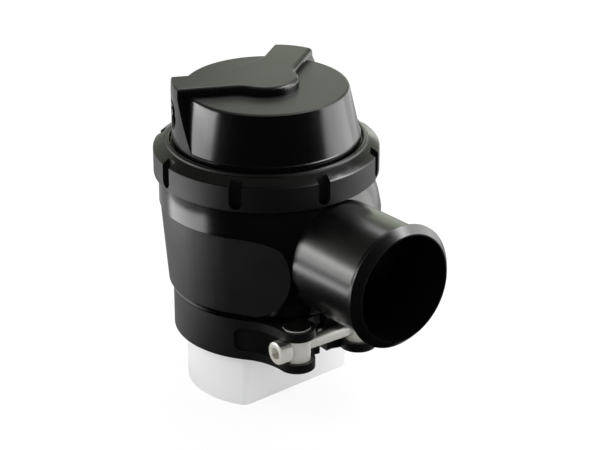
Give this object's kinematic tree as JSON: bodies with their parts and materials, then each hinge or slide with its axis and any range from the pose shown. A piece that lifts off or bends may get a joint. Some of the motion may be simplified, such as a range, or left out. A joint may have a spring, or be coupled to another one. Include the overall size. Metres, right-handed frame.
{
  "type": "blow off valve",
  "caption": "Spring-loaded piston valve in a black billet housing with a side hose outlet, held on an oval weld flange by a hinged clamp and closed by a swivel cap under a slotted lock ring.",
  "frame": {"origin": "centre of the weld flange's lower face, on the valve axis", "axes": "+Z along the valve axis towards the cap, +X along the outlet away from the valve"},
  "size_m": [0.1126, 0.08, 0.115],
  "materials": {
    "gloss_black": "black anodised, glossy",
    "satin_black": "black anodised, satin",
    "bare_aluminium": "machined, bare",
    "stainless": "turned, bright",
    "spring_steel": "shot peened",
    "seal_rubber": "moulded",
    "slip_plastic": "moulded",
    "wear_plastic": "moulded, filled"
  },
  "bodies": {
    "base": {"weld_flange": "bare_aluminium", "flange_o_ring": "seal_rubber", "clamp_half_front": "satin_black", "clamp_half_rear": "satin_black", "clamp_hinge_pin": "stainless", "screw_barrel": "stainless", "nut_barrel": "stainless"},
    "screw": {"clamp_screw": "stainless"},
    "body": {"housing": "gloss_black"},
    "ring": {"lock_ring": "satin_black"},
    "top": {"cap": "gloss_black", "cap_o_ring": "seal_rubber", "slip_ring": "slip_plastic", "spring": "spring_steel", "spring_washer": "stainless"},
    "valve": {"piston": "bare_aluminium", "seat_seal": "seal_rubber", "piston_seal": "seal_rubber", "upper_wear_ring": "wear_plastic", "lower_wear_ring": "wear_plastic"}
  },
  "joints": [
    {"name": "housing_swivel", "type": "hinge", "parent": "base", "child": "body", "pos_m": [0, 0, 0], "axis": [0, 0, 1], "continuous": true},
    {"name": "lock_ring_turn", "type": "hinge", "parent": "body", "child": "ring", "pos_m": [0, 0, 0], "axis": [0, 0, 1], "continuous": true},
    {"name": "cap_turn", "type": "hinge", "parent": "body", "child": "top", "pos_m": [0, 0, 0], "axis": [0, 0, 1], "continuous": true},
    {"name": "piston_lift", "type": "slide", "parent": "body", "child": "valve", "axis": [0, 0, 1], "range_m": [0, 0.012], "stiffness_N_per_m": 2500, "springref_m": -0.02, "deforming": ["spring"]},
    {"name": "screw_turn", "type": "hinge", "parent": "base", "child": "screw", "pos_m": [0.03639, -0.00254, 0.0287], "axis": [0.0698, 0.9976, 0], "continuous": true}
  ]
}
